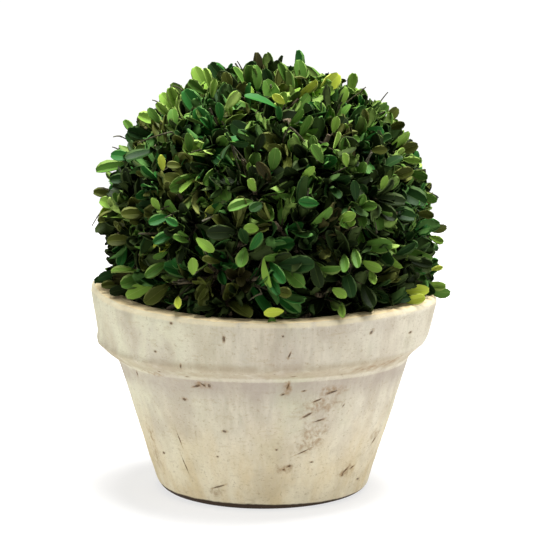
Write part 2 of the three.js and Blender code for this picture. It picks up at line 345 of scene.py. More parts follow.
def new_material(name, **values):
    """A material whose plain values sit on its Principled shader's own sockets."""
    material = bpy.data.materials.new(name)
    material.use_nodes = True
    shader = material.node_tree.nodes["Principled BSDF"]
    for socket, value in values.items():
        shader.inputs[socket.replace("_", " ")].default_value = value
    return material, Graph(material.node_tree), shader


def dress(graph, shader, colour, relief, strength, depth):
    """Feeds a shader its colour, and a bump from its relief."""
    graph.put(shader.inputs["Base Color"], colour)
    bump = graph.node("ShaderNodeBump", {"Strength": strength, "Distance": depth, "Height": relief})
    graph.put(shader.inputs["Normal"], bump.outputs[0])


# Shader effects that several finishes share


def patches_effect():
    """Soft patches of a size, stretched upright by a share under 1."""
    inputs = {"Vector": "vector", "Scale": "number", "Upright": "number", "Low": "number", "High": "number"}
    graph, given, result = new_tree("Patches", "ShaderNodeTree", inputs, ("Mask", "number"))
    upright = graph.times(given["Scale"], given["Upright"])
    scales = graph.node("ShaderNodeCombineXYZ", {0: given["Scale"], 1: given["Scale"], 2: upright})
    place = graph.vector("MULTIPLY", given["Vector"], scales.outputs[0])
    cloud = graph.grain(place, 1.0, detail=4.0)
    graph.put(result, graph.step(cloud, given["Low"], given["High"]))
    return graph.tree


def pores_effect():
    """Small round pits, in only a share of the cells that could hold one."""
    inputs = {"Vector": "vector", "Scale": "number", "Share": "number", "Size": "number"}
    graph, given, result = new_tree("Pores", "ShaderNodeTree", inputs, ("Mask", "number"))
    warp = graph.grain(given["Vector"], 900.0, output=1)
    place = graph.vector("ADD", given["Vector"], graph.vector("MULTIPLY", warp, (0.0012, 0.0012, 0.0012)))
    cells = graph.node("ShaderNodeTexVoronoi", {"Vector": place, "Scale": given["Scale"]})
    chosen = graph.math("LESS_THAN", cells.outputs["Color"], given["Share"])
    pit = graph.step(cells.outputs["Distance"], given["Size"], graph.times(given["Size"], 0.55))
    graph.put(result, graph.times(pit, chosen))
    return graph.tree


PATCHES = patches_effect()
PORES = pores_effect()


def patches(graph, place, scale, upright, low, high):
    inputs = {"Vector": place, "Scale": scale, "Upright": upright, "Low": low, "High": high}
    return graph.group(PATCHES, inputs)


def pores(graph, place, scale, share, size):
    return graph.group(PORES, {"Vector": place, "Scale": scale, "Share": share, "Size": size})


# The pot's finishes

MARK_DEPTH = 0.01  # how far in from the wall a mark still counts
NOWHERE = 40.0  # the place in a mark's frame of all that is far from any
LEAST_FACING = 0.35  # of the wall towards the camera, where a mark's true length is worked out
CLIMB = 0.001  # the step by which the wall's slope is found
WASH_DARK = (178, 171, 155)
WASH_LIGHT = (200, 193, 176)

# Marks that show on the pot's front: pixels of the photo across and down to each, its half length and
# half width in pixels, and its tilt in degrees
GOUGES = [
    (197, 386, 4.0, 1.0, 20),
    (203, 385, 3.5, 1.0, -30),
    (209, 386, 2.0, 1.2, 70),
    (331.5, 392.5, 6.5, 1.1, 12),
    (317, 400.5, 4.0, 0.7, 18),
    (307, 415, 5.0, 1.1, 30),
    (319, 420, 5.0, 0.8, 12),
    (303, 451.5, 7.0, 0.5, 25),
    (374, 440, 2.5, 1.1, 45),
    (180, 438, 6.0, 0.5, -78),
    (186.5, 464, 7.5, 0.5, -75),
    (219, 486, 6.0, 0.7, 22),
    (289, 466, 1.4, 1.2, 0),
    (283.5, 469.5, 1.3, 1.0, 0),
    (276.5, 449.5, 1.1, 1.0, 0),
    (311, 462, 1.3, 0.9, 0),
    (225, 431, 1.9, 1.3, 0),
    (218, 456, 1.0, 0.9, 0),
    (165.5, 452, 1.2, 1.0, 0),
    (185, 399, 1.9, 1.4, 0),
    (224, 338.5, 3.2, 1.2, 90),
    (371, 332, 1.8, 1.5, 40),
    (410, 332, 1.2, 1.1, 0),
    (294, 378, 2.3, 0.8, 5),
    (283, 336, 1.1, 1.0, 0),
    (156, 351, 1.2, 1.0, 0),
    (172, 323, 1.2, 1.0, 0),
    (181, 366, 2.0, 0.7, 90),
    (304, 391, 1.7, 0.7, 10),
    (288, 387, 3.5, 0.9, 75),
    (283, 394.5, 2.3, 0.9, 20),
    (345, 470, 3.4, 1.0, 35),
    (342, 474, 2.0, 1.1, 80),
    (352, 467, 2.0, 0.8, 20),
    (357.5, 479, 1.3, 1.1, 0),
    (289.5, 355, 3.0, 0.7, 70),
    (138, 373, 1.8, 1.0, 80),
    (160, 371, 1.3, 1.0, 0),
    (187, 378, 1.7, 0.8, 0),
    (343, 405, 1.6, 0.6, 60),
]

# Places where the wash has worn to the brown clay, in the same way, none of them tilted
WORN_PATCHES = [
    (347, 470, 9, 7),
    (318, 406, 22, 9),
    (312, 438, 15, 18),
    (287, 390, 5, 8),
    (158, 455, 5, 14),
    (152, 432, 4, 12),
    (218, 492, 9, 5),
    (376, 434, 5, 7),
    (334, 390, 13, 6),
    (203, 386, 10, 5),
    (286, 469, 10, 6),
    # The last three lie in the crease under the band, where their brown is partly painted shade
    (373, 369, 20, 6),
    (396, 361, 9, 6),
    (150, 372, 15, 4),
]

# Layers over the wash. A cloud is its scale, its width as a share of its height, the two levels between
# which it fades in, and its strength
# The lighter, cream sides are partly the wash's own tone and partly painted light from the side lamps
SIDE_TONE_AND_LIGHT = [  # from and to how far right of the middle, and the colour
    (0.0, -0.07, (204, 203, 177)),
    (0.02, 0.09, (208, 202, 184)),
]
SIDE_CLOUD = (20.0, 0.4, 0.2, 0.55, 0.8)
WASH_CLOUDS = [
    ((24.0, 0.6, 0.5, 0.7, 0.5), (174, 164, 158)),
    ((31.0, 0.35, 0.52, 0.7, 0.5), (181, 183, 156)),
]
STAINS = [
    ((48.0, 0.6, 0.42, 0.68, 0.34), (158, 146, 120)),
    ((130.0, 2.6, 0.56, 0.7, 0.28), (162, 146, 117)),
    ((520.0, 1.2, 0.56, 0.7, 0.45), (150, 134, 110)),
    ((700.0, 3.4, 0.62, 0.72, 0.6), (132, 112, 84)),
]
# The tan and the grey bands are painted shade
CREASE_BANDS = [  # the heights between which each fades in and out: tan, a pale ridge, and a grey shade
    ((0.0848, 0.0868, 0.0930, 0.0975), (80.0, 1.6, 0.2, 0.6, 0.6), (156, 142, 116)),
    ((0.0832, 0.0838, 0.0845, 0.0852), (70.0, 1.0, 0.3, 0.6, 0.5), (190, 183, 164)),
    ((0.0660, 0.0805, 0.0826, 0.0836), (34.0, 0.8, 0.1, 0.6, 0.75), (160, 149, 138)),
]


def wall_radius(height):
    """The pot's outer radius at a height."""
    if height < NECK_HEIGHT:
        return mix(FOOT_RADIUS, NECK_RADIUS, (height - FOOT_ROUND) / (NECK_HEIGHT - FOOT_ROUND))
    if height < BAND_HEIGHT:
        return mix(NECK_RADIUS, BAND_RADIUS, (height - NECK_HEIGHT) / (BAND_HEIGHT - NECK_HEIGHT))
    return mix(BAND_RADIUS, RIM_RADIUS, (height - BAND_HEIGHT) / (POT_HEIGHT - BAND_HEIGHT))


def on_wall(across, down):
    """The place on the pot's wall, without its handmade sway, under a pixel of the photo."""
    places = sight(across, down)
    outside = [math.hypot(place.x, place.y) - wall_radius(place.z) for place in places]
    first = next(i for i, distance in enumerate(outside) if distance < 0)
    share = outside[first - 1] / (outside[first - 1] - outside[first])
    return places[first - 1].lerp(places[first], share)


def mark_frame(across, down, length, width, tilt=0):
    """The middle of a mark on the pot's wall, and the three directions of its frame over its half sizes.
    A mark that runs across is as much longer than it looks as the wall there turns away."""
    middle = on_wall(across, down)
    out = Vector((middle.x, middle.y, 0)).normalized()
    sideways = UP.cross(out)
    climb = (out * (wall_radius(middle.z + CLIMB) - wall_radius(middle.z)) + UP * CLIMB).normalized()
    turn = math.radians(tilt)
    along = sideways * math.cos(turn) + climb * math.sin(turn)
    face = sideways.cross(climb)
    true_length = length * PIXEL * mix(1, 1 / max(-out.y, LEAST_FACING), abs(math.cos(turn)))
    true_width = width * PIXEL / math.cos(CAMERA_ELEVATION)
    return middle, along / true_length, face.cross(along) / true_width, face / MARK_DEPTH


def places_in_marks(corners, marks):
    """Every face corner's place in the frame of the mark nearest to its face, in that mark's half sizes.
    It runs evenly over each face, so that a finish can draw marks finer than the faces."""
    nearest = np.full(len(corners), np.inf)
    places = np.full(corners.shape, NOWHERE)
    for mark in marks:
        middle, *axes = mark_frame(*mark)
        here = (corners - np.array(middle)) @ np.array(axes).T
        away = np.linalg.norm(here.mean(axis=1), axis=1)
        closer = away < np.minimum(nearest, NOWHERE)
        nearest[closer] = away[closer]
        places[closer] = here[closer]
    return places


def whitewashed_clay():
    """Tan clay under a brushed, worn lime wash, with pits, stains and a dirty lip, and with painted light on
    its sides, lip and lower wall and painted shade at the crease and foot.
    """
    material, graph, shader = new_material("whitewashed clay", Roughness=0.9, Specular_IOR_Level=0.2)
    place = graph.place()
    sideways, forwards, height = graph.apart(place)
    up = graph.apart(graph.node("ShaderNodeNewGeometry", {}).outputs["Normal"])["Z"]

    def cloud(scale, upright, low, high, strength=1.0):
        return graph.times(patches(graph, place, scale, upright, low, high), strength)

    def between(low, rising, falling, high, value):
        return graph.times(graph.step(value, low, rising), graph.step(value, high, falling))

    def tint(colour, mask, screen):
        return graph.blend(mask, colour, shade(*screen))

    def ragged_mark(attribute_name, scale, raggedness):
        """How far a place is from the middle of its nearest mark, in the mark's half sizes."""
        here = graph.node("ShaderNodeAttribute", {}, attribute_name=attribute_name).outputs["Vector"]
        away = graph.vector("LENGTH", here, (0, 0, 0), output=1)
        shaken = graph.math("SUBTRACT", graph.grain(place, scale), 0.5)
        return graph.math("MULTIPLY_ADD", shaken, raggedness, away)

    # The wash: brush streaks, then broad cool, green and warm clouds
    streaks = cloud(300.0, 0.04, 0.28, 0.74)
    colour = graph.blend(streaks, shade(*WASH_DARK), shade(*WASH_LIGHT))
    colour = tint(colour, cloud(90.0, 0.05, 0.35, 0.65, 0.35), (192, 185, 167))
    # Both sides lighter: partly their own cream tone, partly painted light where the side lamps fall
    for inwards, outwards, screen in SIDE_TONE_AND_LIGHT:
        mask = graph.times(graph.step(sideways, inwards, outwards), cloud(*SIDE_CLOUD))
        colour = tint(colour, mask, screen)
    for shape, screen in WASH_CLOUDS:
        colour = tint(colour, cloud(*shape), screen)

    # Warmer and more mottled towards the foot, and lighter there: painted light that evens out the lamps'
    # fall-off down the wall
    low_down = graph.step(height, 0.075, 0.006)
    colour = tint(colour, graph.times(low_down, 0.75), (223, 213, 183))
    ochre_share = graph.math("MULTIPLY_ADD", low_down, 0.5, 0.08)
    colour = tint(colour, graph.times(cloud(60.0, 0.25, 0.36, 0.66), ochre_share), (192, 170, 124))
    for shape, screen in STAINS:
        colour = tint(colour, cloud(*shape), screen)

    # The crease, which rises towards the front, with painted shade: tan under the band and grey below the
    # crease
    front = graph.math("MINIMUM", forwards, 0.0)
    rise = graph.times(graph.times(front, front), CREASE_RISE / NECK_RADIUS**2)
    at_neck = graph.math("SUBTRACT", height, rise)
    for heights, shape, screen in CREASE_BANDS:
        colour = tint(colour, graph.times(between(*heights, at_neck), cloud(*shape)), screen)

    # Where the wash has worn away
    worn = graph.step(ragged_mark("worn place", 170.0, 2.4), 1.3, 0.3)
    worn = graph.times(worn, cloud(300.0, 0.8, 0.34, 0.7))
    colour = tint(colour, graph.times(worn, 0.72), (140, 112, 76))

    # The lip: a rubbed edge with a painted highlight on its rounding, and tan on top, painted lighter to
    # make up for the leaves' shadow on it
    at_lip = graph.step(height, 0.1165, 0.1205)
    edge = graph.times(at_lip, between(0.1, 0.35, 0.72, 0.93, up))
    colour = tint(colour, graph.times(edge, cloud(120.0, 1.0, 0.2, 0.5, 0.7)), (204, 193, 161))
    top = graph.times(at_lip, graph.step(up, 0.78, 0.95))
    colour = tint(colour, graph.times(top, 0.9), (228, 208, 162))
    colour = tint(colour, graph.times(top, cloud(110.0, 1.0, 0.45, 0.65, 0.5)), (180, 154, 110))

    # Pits and gouges, with brown round the gouges
    pits = pores(graph, place, 150.0, 0.1, 0.1)
    dots = pores(graph, place, 78.0, 0.1, 0.085)
    gouge = ragged_mark("gouge place", 700.0, 1.5)
    halo = graph.times(graph.step(gouge, 2.4, 0.8), cloud(420.0, 1.0, 0.3, 0.6, 0.6))
    gouges = graph.step(gouge, 1.15, 0.35)
    colour = tint(colour, halo, (140, 110, 72))
    colour = tint(colour, graph.times(pits, 0.5), (112, 92, 68))
    colour = tint(colour, graph.times(dots, 0.65), (96, 76, 54))
    colour = tint(colour, graph.times(gouges, 0.72), (84, 62, 42))

    # Painted shadow along the foot: a dark brown band, wider to the left, where the contact shadow lies
    # deeper
    ragged_height = graph.math("MULTIPLY_ADD", graph.grain(place, 160.0), 0.0012, height)
    ragged_height = graph.math("MULTIPLY_ADD", graph.math("MAXIMUM", sideways, 0.0), 0.035, ragged_height)
    colour = tint(colour, graph.step(ragged_height, 0.0052, 0.0041), (58, 45, 34))

    holes = graph.math("MAXIMUM", graph.math("MAXIMUM", pits, dots), gouges)
    relief = graph.times(streaks, 0.3)
    fine = cloud(900.0, 1.0, 0.2, 0.8)
    lumps = cloud(170.0, 1.6, 0.2, 0.8)
    for mask, share in [(fine, 0.2), (lumps, 0.4), (worn, -0.5), (holes, -1.6)]:
        relief = graph.math("MULTIPLY_ADD", mask, share, relief)
    dress(graph, shader, colour, relief, 1.0, 0.0006)
    return material


def bare_clay():
    """The pot's unwashed inside: damp tan clay with dark tide marks."""
    material, graph, shader = new_material("bare clay", Roughness=0.9, Specular_IOR_Level=0.25)
    place = graph.place()
    damp = patches(graph, place, 40.0, 0.6, 0.35, 0.65)
    fine = patches(graph, place, 600.0, 1.0, 0.2, 0.8)
    pits = pores(graph, place, 130.0, 0.2, 0.14)
    colour = graph.blend(damp, shade(158, 126, 88), shade(112, 84, 56))
    colour = graph.blend(graph.times(pits, 0.7), colour, shade(58, 42, 28))
    dress(graph, shader, colour, graph.math("MULTIPLY_ADD", pits, -2.0, fine), 0.8, 0.0004)
    return material


# The pot

LIP_HUMPS = [  # the height of each, its middle in degrees to the right of the front, and its width
    (0.0018, 48, 24),
    (-0.0022, 94, 22),
    (0.0014, -85, 28),
]
SWAYS = [  # layers of the wall's unevenness: scale, width as a share of height, and depth
    (22, 1, 0.0009),
    (60, 0.3, 0.00035),
    (130, 1, 0.00022),
]


def inner_radius(height):
    """The pot's inner radius at a height between its floor and its mouth."""
    floor_radius = FOOT_RADIUS - WALL
    neck_radius = NECK_RADIUS - WALL
    if height < NECK_HEIGHT:
        return mix(floor_radius, neck_radius, (height - FLOOR) / (NECK_HEIGHT - FLOOR))
    return mix(neck_radius, MOUTH_RADIUS, (height - NECK_HEIGHT) / (POT_HEIGHT - NECK_HEIGHT))


def lip_height(x, y):
    """The height of the lip's top, which isn't level: it also humps at the front's right and ends."""
    degrees = math.degrees(math.atan2(x, -y))
    humps = sum(height * bell(degrees, middle, width) for height, middle, width in LIP_HUMPS)
    return POT_HEIGHT - LIP_RISE * x / RIM_RADIUS + humps


def pot_outline():
    """The pot's outline as radius and height, from under its foot to the middle of its floor, and where
    its inside starts."""
    outline = [Vector((HIDDEN_STEP, 0))]

    def straight(radius, height, step):
        start = outline[-1]
        end = Vector((radius, height))
        steps = max(round((end - start).length / step), 1)
        outline.extend(start.lerp(end, (i + 1) / steps) for i in range(steps))

    def curved(corner, end):
        start = outline[-1]
        steps = max(round((Vector(end) - start).length / SKIN_STEP), 6)
        outline.extend(bend(start, Vector(corner), Vector(end), steps))

    straight(FOOT_RADIUS - FOOT_ROUND, 0, HIDDEN_STEP)
    curved((FOOT_RADIUS - 0.001, 0), (FOOT_RADIUS, FOOT_ROUND))
    straight(NECK_RADIUS, NECK_HEIGHT, SKIN_STEP)
    straight(BAND_RADIUS, BAND_HEIGHT, SKIN_STEP)
    straight(RIM_RADIUS, POT_HEIGHT - LIP_ROUND, SKIN_STEP)
    curved((RIM_RADIUS, POT_HEIGHT), (RIM_RADIUS - LIP_ROUND, POT_HEIGHT))
    straight(MOUTH_RADIUS + MOUTH_ROUND, POT_HEIGHT, SKIN_STEP)
    curved((MOUTH_RADIUS, POT_HEIGHT), (MOUTH_RADIUS - 0.0005, POT_HEIGHT - MOUTH_ROUND))
    inside = len(outline)
    straight(inner_radius(NECK_HEIGHT), NECK_HEIGHT, HIDDEN_STEP)
    straight(inner_radius(FLOOR), FLOOR, HIDDEN_STEP)
    straight(HIDDEN_STEP, FLOOR, HIDDEN_STEP)
    return outline, inside


def hand_made(radius, height, turn, outside):
    """A point of the pot's skin, moved off the true outline as a hand-pressed pot's is."""
    out = Vector((math.sin(turn), -math.cos(turn), 0))
    point = out * radius + UP * height
    above_band = (height - BAND_HEIGHT) / (POT_HEIGHT - BAND_HEIGHT)
    if above_band > 0:
        point.z = mix(BAND_HEIGHT, lip_height(point.x, point.y), above_band)
    if not outside:
        return point
    off_ground = smooth(0.0, 0.006, height)
    sway = 0
    for scale, upright, depth in SWAYS:
        sway += noise.noise(Vector((point.x, point.y, point.z * upright)) * scale) * depth
    left = max(-out.x, 0) ** 2
    right = max(out.x, 0) ** 2
    at_band_foot = smooth(NECK_HEIGHT, 0.090, height) * smooth(0.100, 0.094, height)
    swell = at_band_foot * (0.0016 * left - 0.0008 * right)
    swell += smooth(0.093, NECK_HEIGHT, height) * (0.0006 * left + 0.0004)
    ragged = noise.noise(Vector((point.x, point.y, 0)) * 260) * 0.0005
    point += out * (sway + swell + ragged * smooth(0.118, 0.122, height)) * off_ground
    point.z += noise.noise(Vector((point.x * 16, point.y * 16, 3.1))) * 0.0007 * smooth(0.100, 0.122, height)
    point.z += (ragged - abs(ragged)) * 0.5 * smooth(0.122, 0.1255, height)
    point.z += 0.0008 * out.x * smooth(0.070, NECK_HEIGHT, height) * smooth(0.110, BAND_HEIGHT, height)
    at_crease = smooth(0.066, NECK_HEIGHT, height) * smooth(BAND_HEIGHT, NECK_HEIGHT, height)
    point.z += CREASE_RISE * max(-out.y, 0) ** 2 * at_crease
    return point


def make_pot():
    """The pot, washed outside and bare inside, with every outer corner's place in its nearest marks."""
    outline, inside = pot_outline()
    turns = [j / POT_SIDES * 2 * math.pi for j in range(POT_SIDES)]
    vertices = []
    for k, (radius, height) in enumerate(outline):
        vertices += [hand_made(radius, height, turn, k < inside) for turn in turns]
    faces = ring_faces(len(outline), POT_SIDES)
    four_sided = np.array(faces)
    last = (len(outline) - 1) * POT_SIDES
    under = len(vertices)
    floor = under + 1
    vertices += [Vector((0, 0, 0)), Vector((0, 0, FLOOR))]
    for j in range(POT_SIDES):
        following = (j + 1) % POT_SIDES
        faces.append((under, following, j))
        faces.append((floor, last + j, last + following))
    pot = new_piece("whitewashed_pot", vertices, faces, [whitewashed_clay(), bare_clay()])
    first_inner = (inside - 1) * POT_SIDES
    inner = [int(first_inner <= i < last) for i in range(len(faces))]
    pot.data.polygons.foreach_set("material_index", inner)
    corners = np.array(vertices)[four_sided]
    for name, marks in [("gouge place", GOUGES), ("worn place", WORN_PATCHES)]:
        places = np.full((len(pot.data.loops), 3), NOWHERE)
        places[: four_sided.size] = places_in_marks(corners, marks).reshape(-1, 3)
        store(pot.data, name, "FLOAT_VECTOR", "CORNER", places.ravel())
    return pot


# The limbs: the part's own rule of growth, carried on to leafy twigs

RANKS = [
    {"count": 7, "reach": 0.3, "lowest": 0, "radius": 0.0040},
    {"count": 32, "reach": 0.6, "lowest": -0.2, "radius": 0.0026},
    {"count": 150, "reach": 0.87, "lowest": -0.285, "radius": 0.0014},
]
TWIGS = {"count": 700, "reach": 0.855, "lowest": -0.31, "radius": 0.00055}
INNER_TWIGS = {"count": 400, "reach": 0.68, "lowest": -0.22, "radius": 0.0006}
STUBS = {"count": 45, "reach": 0.985, "lowest": -0.15, "radius": 0.0006}
GOLDEN_ANGLE = math.pi * (3 - math.sqrt(5))
LIMB_STEPS = 6


class Limb:
    """A tapering limb with a soft bend, which leaves its parent the way that the parent was going."""

    def __init__(self, start, leaving, end, foot_radius, radius):
        corner = start + leaving.normalized() * (end - start).length * 0.45
        self.path = [start.copy()] + bend(start, corner, end, LIMB_STEPS)
        self.end = end
        self.radius = radius
        self.radii = [mix(foot_radius, radius, k / LIMB_STEPS) for k in range(LIMB_STEPS + 1)]

    def at(self, share):
        """A point along the limb and the direction there, at a share of the way to its tip."""
        whole = min(max(share, 0), 0.999) * (len(self.path) - 1)
        k = int(whole)
        step = self.path[k + 1] - self.path[k]
        return self.path[k] + step * (whole - k), step.normalized()

    def length(self):
        return sum((b - a).length for a, b in zip(self.path, self.path[1:]))


def in_ball(direction, distance):
    """The point at a distance from the ball's centre in a direction, in the ball's drawn-out shape."""
    point = direction * distance
    if point.z < 0:
        point.z /= BALL_SAG
    return point + CENTRE


def spread(count, lowest, random, jitter):
    """Directions spread evenly over a sphere, from straight up down to the sine of a lowest elevation."""
    directions = []
    for i in range(count):
        rise = mix(1, lowest, (i + 0.5) / count)
        turn = i * GOLDEN_ANGLE
        flat = math.sqrt(1 - rise * rise)
        shaken = [(next(random) - 0.5) * jitter for _ in range(3)]
        direction = Vector((math.cos(turn) * flat, math.sin(turn) * flat, rise)) + Vector(shaken)
        directions.append(direction.normalized())
    return directions


def ball_share(point):
    """How far out a point is in the ball's drawn-out shape, as a share of the ball's radius."""
    from_centre = point - CENTRE
    if from_centre.z < 0:
        from_centre.z *= BALL_SAG
    return from_centre.length / BALL_RADIUS


def in_space(point, reach=1.0):
    """Whether a point keeps to the ball's space: inside its clipped outline, and clear of pot and soil."""
    radius = math.hypot(point.x, point.y)
    lowest = lip_height(point.x, point.y) + LIP_CLEARANCE + BALL_TUCK * max(radius - MOUTH_RADIUS, 0)
    over_lip = point.z > lowest
    in_mouth = radius < MOUTH_RADIUS - MOUTH_CLEARANCE and point.z > SOIL_HEIGHT + SOIL_CLEARANCE
    return ball_share(point) < reach and (over_lip or in_mouth)


def seen_at(across, down, reach):
    """Where the ray through a pixel first comes within a reach of the ball, or passes nearest to it."""
    places = sight(across, down)
    return next((place for place in places if ball_share(place) < reach), min(places, key=ball_share))


def seen_near(across, down, other):
    """The place under a pixel of the photo that is nearest to another place."""
    return min(sight(across, down), key=lambda place: (place - other).length)


def nearest(parents, place):
    """The limb whose tip is nearest to a place."""
    return min(parents, key=lambda each: (each.end - place).length)


def grow_limbs(random):
    """Every limb of the part's own three ranks, from the top of the stem out."""
    ranks = []
    parents = [Limb(STEM_FOOT, UP, STEM_TOP, STEM_RADIUS * 1.3, STEM_RADIUS)]
    for rank in RANKS:
        born = []
        for direction in spread(rank["count"], rank["lowest"], random, 0.5 / math.sqrt(rank["count"])):
            end = in_ball(direction, BALL_RADIUS * rank["reach"] * mix(0.965, 1.035, next(random)))
            parent = nearest(parents, end)
            leaving = parent.at(1)[1] + direction
            born.append(Limb(parent.end, leaving, end, parent.radius * 0.8, rank["radius"]))
        ranks.append(born)
        parents = born
    return ranks


def grow_twigs(parents, rank, random):
    """Finer twigs, by the same rule, each from the side of its nearest parent."""
    born = []
    for direction in spread(rank["count"], rank["lowest"], random, 1.0 / math.sqrt(rank["count"])):
        end = in_ball(direction, BALL_RADIUS * rank["reach"] * mix(0.95, 1.045, next(random)))
        foot, along = nearest(parents, end).at(mix(0.35, 0.85, next(random)))
        if in_space(end):
            leaving = along + (end - foot).normalized()
            born.append(Limb(foot, leaving, end, rank["radius"] * 1.5, rank["radius"]))
    return born


# What stands out in the photo: pixels across and down of each leaf's stalk and of its tip, its roll in
# degrees from facing the camera, and its tone
# Each tone is the one nearest to how light or dark the leaf shows, so it holds painted light and shade along
# with the leaf's own colour
PHOTO_LEAVES = [
    (206, 122, 184, 90, 10, "emerald"),
    (182, 114, 169, 87, 0, "fresh"),
    (177, 116, 162, 93, 20, "fresh"),
    (172, 118, 156, 103, 0, "fresh"),
    (163, 124, 137, 117, 20, "fresh"),
    (160, 124, 149, 109, 0, "leaf_green"),
    (135, 136, 124, 120, 30, "leaf_green"),
    (158, 140, 127, 130, 0, "forest"),
    (134, 158, 111, 154, 20, "emerald"),
    (130, 165, 96, 171, 30, "leaf_green"),
    (155, 150, 127, 164, 45, "forest"),
    (163, 171, 161, 157, 0, "lime"),
    (182, 166, 167, 165, 20, "olive"),
    (190, 153, 186, 132, 20, "leaf_green"),
    (206, 90, 194, 67, 0, "fresh"),
    (210, 90, 204, 68, 30, "fresh"),
    (205, 94, 187, 81, 10, "leaf_green"),
    (186, 182, 167, 176, 0, "olive"),
    (132, 178, 110, 180, 10, "forest"),
    (296, 86, 294, 50, 50, "emerald"),
    (301, 88, 300, 60, 30, "leaf_green"),
    (288, 86, 279, 63, 20, "leaf_green"),
    (252, 92, 249, 64, 0, "leaf_green"),
    (257, 92, 258, 66, 30, "leaf_green"),
    (247, 90, 234, 67, 60, "leaf_green"),
    (273, 90, 264, 68, 0, "forest"),
    (230, 92, 225, 73, 0, "olive"),
    (212, 98, 215, 79, 0, "fresh"),
    (225, 110, 238, 93, 180, "fresh"),
    (277, 108, 249, 90, 65, "emerald"),
    (285, 104, 273, 95, 0, "lime"),
    (296, 98, 315, 78, 45, "lime"),
    (318, 97, 339, 75, 10, "lime"),
    (280, 121, 278, 106, 0, "emerald"),
    (300, 136, 307, 113, 40, "leaf_green"),
    (289, 125, 304, 113, 50, "leaf_green"),
    (221, 121, 218, 103, 20, "emerald"),
    (255, 153, 262, 132, 20, "deep"),
    (272, 171, 276, 150, 10, "leaf_green"),
    (271, 181, 257, 162, 0, "umber"),
    (256, 191, 245, 179, 20, "fresh"),
    (301, 178, 313, 170, 30, "fresh"),
    (323, 163, 312, 145, 20, "leaf_green"),
    (231, 144, 224, 134, 70, "forest"),
    (231, 144, 247, 145, 60, "forest"),
    (231, 144, 223, 159, 65, "forest"),
    (350, 94, 354, 73, 0, "fresh"),
    (340, 107, 347, 89, 20, "fresh"),
    (333, 133, 337, 117, 10, "fresh"),
    (333, 150, 336, 131, 60, "fresh"),
    (385, 123, 398, 108, 10, "olive"),
    (367, 127, 364, 109, 0, "olive"),
    (388, 128, 405, 122, 20, "olive"),
    (387, 149, 411, 136, 45, "fresh"),
    (395, 152, 418, 145, 10, "olive"),
    (347, 167, 342, 152, 20, "fresh"),
    (371, 150, 386, 150, 0, "olive"),
    (402, 159, 421, 161, 10, "fresh"),
    (408, 172, 429, 176, 20, "leaf_green"),
    (381, 190, 386, 178, 0, "fresh"),
    (390, 178, 413, 170, 0, "olive"),
    (120, 197, 93, 194, 30, "olive"),
    (123, 207, 100, 200, 10, "fresh"),
    (121, 211, 98, 222, 20, "olive"),
    (147, 213, 120, 217, 20, "olive"),
    (160, 210, 153, 200, 0, "fresh"),
    (169, 216, 149, 223, 10, "emerald"),
    (165, 218, 179, 226, 0, "emerald"),
    (132, 240, 108, 240, 20, "olive"),
    (175, 231, 153, 243, 0, "emerald"),
    (189, 242, 171, 240, 40, "leaf_green"),
    (118, 272, 98, 277, 20, "forest"),
    (115, 280, 94, 281, 0, "forest"),
    (122, 284, 101, 287, 20, "olive"),
    (130, 288, 110, 292, 10, "deep"),
    (139, 272, 111, 272, 60, "fresh"),
    (149, 276, 120, 287, 10, "leaf_green"),
    (155, 283, 127, 295, 10, "fresh"),
    (169, 284, 145, 303, 0, "olive"),
    (178, 296, 179, 310, 10, "lime"),
    (193, 275, 193, 260, 10, "fresh"),
    (167, 262, 145, 277, 0, "leaf_green"),
    (220, 262, 201, 263, 40, "olive"),
    (196, 238, 211, 250, 10, "fresh"),
    (237, 232, 207, 233, 0, "deep"),
    (247, 244, 240, 227, 0, "forest"),
    (259, 229, 246, 228, 0, "fresh"),
    (250, 250, 261, 232, 20, "emerald"),
    (245, 247, 241, 270, 10, "leaf_green"),
    (264, 256, 264, 286, 65, "fresh"),
    (278, 265, 314, 264, 0, "forest"),
    (270, 262, 287, 283, 20, "emerald"),
    (282, 266, 302, 285, 10, "leaf_green"),
    (267, 272, 279, 295, 10, "emerald"),
    (276, 290, 294, 295, 0, "olive"),
    (284, 311, 267, 313, 0, "lime"),
    (272, 316, 272, 328, 0, "leaf_green"),
    (319, 204, 297, 201, 0, "emerald"),
    (310, 225, 332, 211, 60, "leaf_green"),
    (253, 201, 228, 210, 20, "leaf_green"),
    (263, 203, 248, 213, 10, "forest"),
    (356, 201, 355, 183, 10, "forest"),
    (338, 220, 355, 214, 10, "fresh"),
    (354, 248, 359, 269, 10, "leaf_green"),
    (362, 261, 380, 270, 30, "fresh"),
    (317, 268, 341, 267, 40, "leaf_green"),
    (344, 254, 347, 274, 20, "leaf_green"),
    (313, 261, 319, 285, 10, "deep"),
    (345, 270, 352, 297, 0, "forest"),
    (370, 270, 376, 285, 10, "fresh"),
    (332, 288, 345, 296, 0, "fresh"),
    (341, 302, 343, 318, 10, "fresh"),
    (362, 284, 374, 309, 0, "deep"),
    (402, 290, 428, 291, 10, "lime"),
    (402, 301, 425, 297, 20, "lime"),
    (424, 284, 446, 285, 20, "fresh"),
    (427, 289, 450, 295, 30, "leaf_green"),
    (430, 270, 443, 267, 0, "lime"),
    (429, 236, 444, 242, 10, "fresh"),
    (426, 229, 447, 229, 20, "olive"),
    (419, 193, 437, 201, 20, "leaf_green"),
    (408, 259, 433, 265, 0, "deep"),
    (361, 245, 391, 246, 20, "leaf_green"),
    (394, 255, 415, 243, 30, "forest"),
    (417, 213, 435, 214, 20, "olive"),
]

PHOTO_REACH = 1.02  # of their tips, in radii of the ball
PHOTO_LEAN = 0.08  # how far behind its tip a leaf's root lies, as a share of the way to the ball's centre
PHOTO_CLEARANCE = 0.0032  # that other leaves keep from them
CLEAR_SHARES = [0.4, 0.7, 1.0]  # the places along a blade, from its root, that they keep it from

